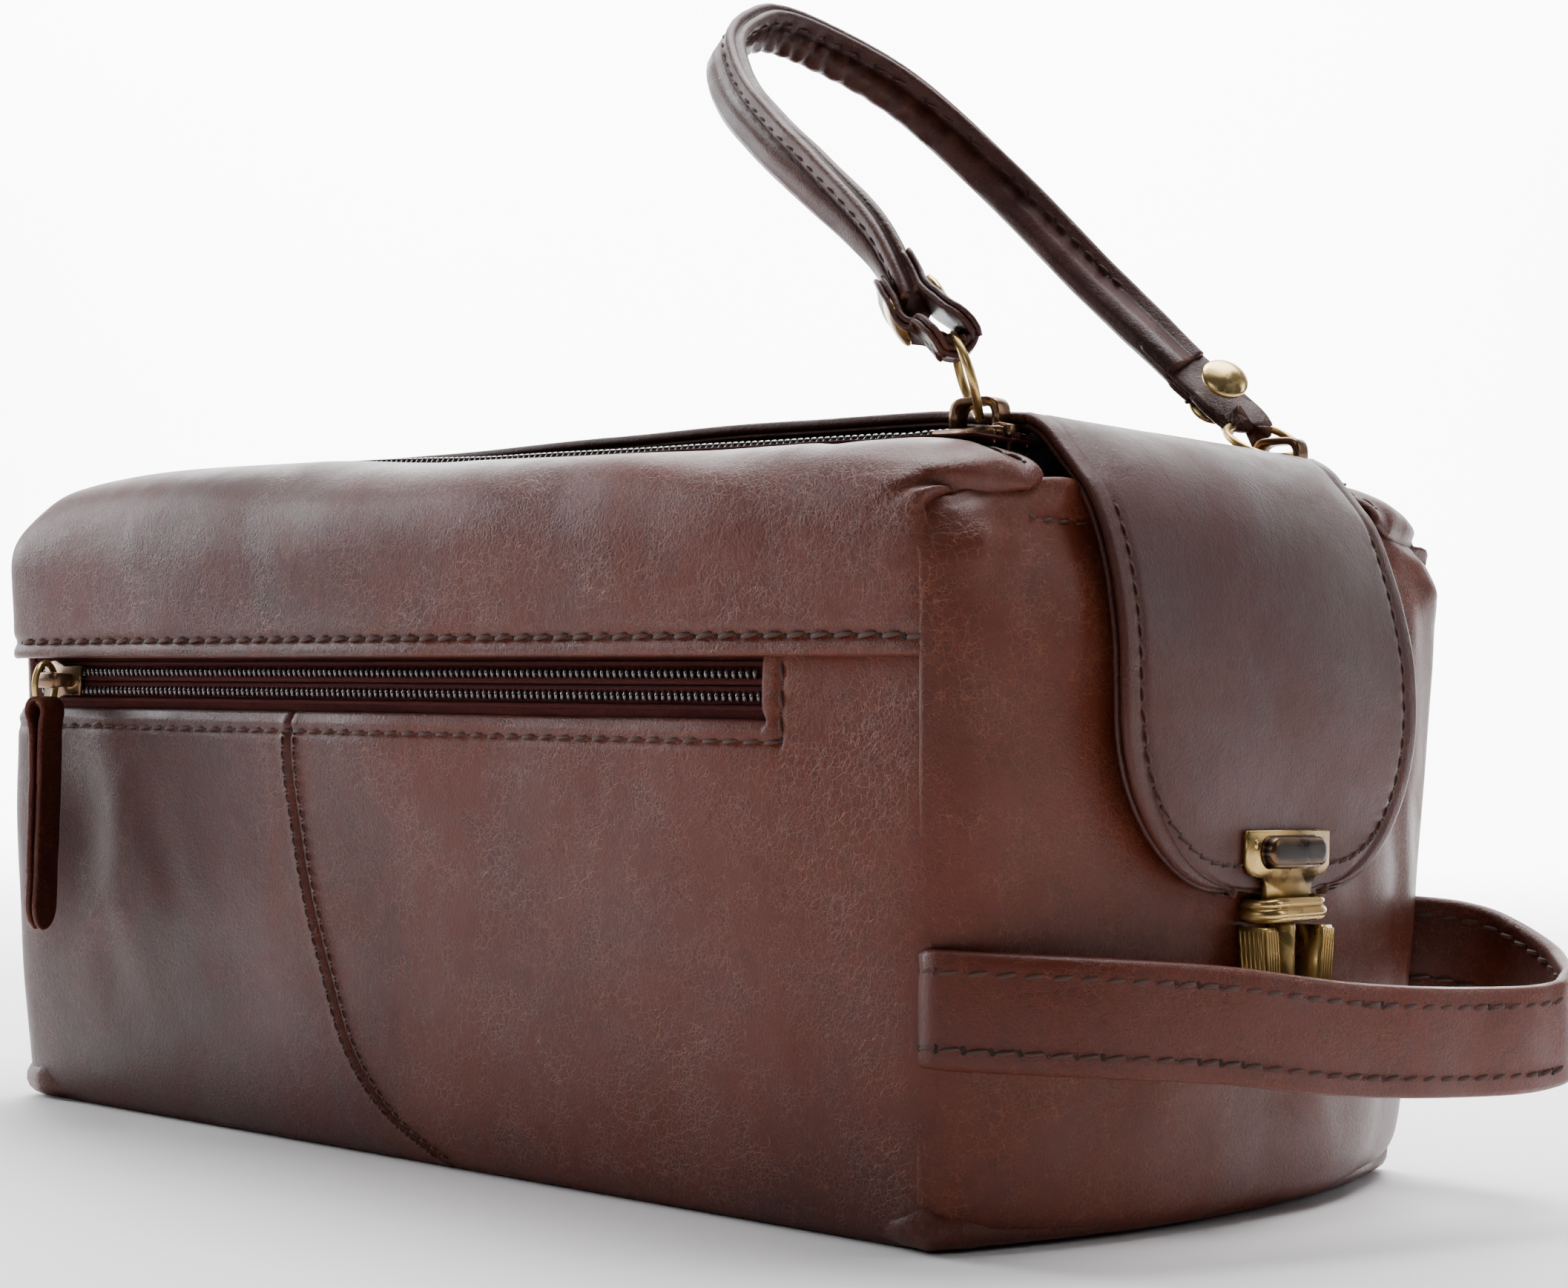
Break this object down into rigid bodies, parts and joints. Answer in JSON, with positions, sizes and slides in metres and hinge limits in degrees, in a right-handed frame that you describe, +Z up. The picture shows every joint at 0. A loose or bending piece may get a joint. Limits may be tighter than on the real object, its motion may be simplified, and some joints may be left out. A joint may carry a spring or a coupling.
{
  "type": "shaving kit bag",
  "caption": "Soft leather wash bag with a zipped lift-up lid, a clasp flap at one end, a front zip pocket, a ring-hung carry handle and a strap across the clasp end.",
  "frame": {"origin": "centre of the base, on its underside, midway between the two end seams", "axes": "+X along the bag to the clasp end, -Y to the front with the zip pocket, +Z up"},
  "size_m": [0.3319, 0.1817, 0.2476],
  "materials": {
    "chestnut_leather": "glazed, lightly crackled",
    "dark_leather": "glazed, darkened",
    "board": "raw fibreboard",
    "black_fabric": "plain woven lining",
    "brown_tape": "herringbone zip tape",
    "black_coil": "nylon coil",
    "antique_brass": "antique, rubbed bright at the edges",
    "dark_bronze": "dark antique, worn edges"
  },
  "bodies": {
    "bag_body": {"base_panel": "dark_leather", "base_board": "board", "front_left_panel": "chestnut_leather", "front_right_panel": "chestnut_leather", "front_upper_panel": "chestnut_leather", "rear_panel": "chestnut_leather", "clasp_end_panel": "chestnut_leather", "plain_end_panel": "chestnut_leather", "end_binding": "dark_leather", "main_lining": "black_fabric", "pocket_lining": "black_fabric", "pocket_upper_tape": "brown_tape", "pocket_lower_tape": "brown_tape", "pocket_upper_coil": "black_coil", "pocket_lower_coil": "black_coil", "front_body_tape": "brown_tape", "rear_body_tape": "brown_tape", "front_body_coil": "black_coil", "rear_body_coil": "black_coil", "zip_stops": "dark_bronze", "side_strap": "chestnut_leather", "clasp_base": "antique_brass", "clasp_collar": "antique_brass", "clasp_rivets": "dark_bronze"},
    "lid": {"lid_panel": "chestnut_leather", "lid_lining": "black_fabric", "front_lid_tape": "brown_tape", "rear_lid_tape": "brown_tape", "front_lid_coil": "black_coil", "rear_lid_coil": "black_coil"},
    "flap": {"flap_outer": "chestnut_leather", "flap_lining": "dark_leather", "clasp_plate": "antique_brass", "clasp_boss": "dark_bronze"},
    "left_lever": {"left_lever": "antique_brass"},
    "right_lever": {"right_lever": "antique_brass"},
    "front_slider": {"front_slider": "dark_bronze"},
    "rear_slider": {"rear_slider": "dark_bronze"},
    "front_ring": {"front_ring": "antique_brass"},
    "rear_ring": {"rear_ring": "antique_brass"},
    "handle": {"handle_strap": "dark_leather", "handle_front_end": "dark_leather", "handle_rear_end": "dark_leather", "handle_rivets": "antique_brass"},
    "pocket_slider": {"pocket_slider": "dark_bronze"},
    "pocket_ring": {"pocket_ring": "antique_brass"},
    "pocket_tab": {"pocket_tab": "chestnut_leather"}
  },
  "joints": [
    {"name": "lid_hinge", "type": "hinge", "parent": "bag_body", "child": "lid", "pos_m": [-0.137, 0, 0.146], "axis": [0, -1, 0], "range_deg": [0, 80], "deforming": ["lid_panel", "lid_lining", "front_lid_tape", "rear_lid_tape", "front_lid_coil", "rear_lid_coil"]},
    {"name": "flap_hinge", "type": "hinge", "parent": "lid", "child": "flap", "pos_m": [0.1396, 0, 0.1465], "axis": [0, -1, 0], "range_deg": [0, 150]},
    {"name": "front_slider_slide", "type": "slide", "parent": "bag_body", "child": "front_slider", "axis": [-1, 0, 0], "range_m": [0, 0.2472]},
    {"name": "rear_slider_slide", "type": "slide", "parent": "bag_body", "child": "rear_slider", "axis": [-1, 0, 0], "range_m": [0, 0.2472]},
    {"name": "front_ring_swing", "type": "hinge", "parent": "front_slider", "child": "front_ring", "pos_m": [0.122, -0.051, 0.1469], "axis": [0, -1, 0], "range_deg": [-32, 15]},
    {"name": "rear_ring_swing", "type": "hinge", "parent": "rear_slider", "child": "rear_ring", "pos_m": [0.122, 0.051, 0.1491], "axis": [0, -1, 0], "range_deg": [-32.5, 15.5]},
    {"name": "handle_swing", "type": "hinge", "parent": "front_ring", "child": "handle", "pos_m": [0.11813, -0.05449, 0.16203], "axis": [0.0755, -0.9962, 0.0439], "range_deg": [-60, 20]},
    {"name": "left_lever_squeeze", "type": "hinge", "parent": "bag_body", "child": "left_lever", "pos_m": [0.158, -0.0086, 0.04], "axis": [-1, 0, 0], "range_deg": [0, 8], "stiffness_Nm_per_rad": 0.25},
    {"name": "right_lever_squeeze", "type": "hinge", "parent": "bag_body", "child": "right_lever", "pos_m": [0.158, 0.0086, 0.04], "axis": [1, 0, 0], "range_deg": [0, 8], "stiffness_Nm_per_rad": 0.25},
    {"name": "pocket_slider_slide", "type": "slide", "parent": "bag_body", "child": "pocket_slider", "axis": [1, 0, 0], "range_m": [0, 0.202]},
    {"name": "pocket_ring_swing", "type": "hinge", "parent": "pocket_slider", "child": "pocket_ring", "pos_m": [-0.116, -0.08647, 0.0973], "axis": [0, 0, -1], "range_deg": [-45, 45]},
    {"name": "pocket_tab_swing", "type": "hinge", "parent": "pocket_ring", "child": "pocket_tab", "pos_m": [-0.11359, -0.09065, 0.09101], "axis": [0.5, -0.866, 0], "range_deg": [-90, 4]}
  ],
  "couplings": [
    {"joint": "front_slider_slide", "follows": "lid_hinge", "m_per_rad": 0.1769},
    {"joint": "rear_slider_slide", "follows": "lid_hinge", "m_per_rad": 0.1769},
    {"joint": "rear_ring_swing", "follows": "front_ring_swing", "ratio": 1}
  ]
}
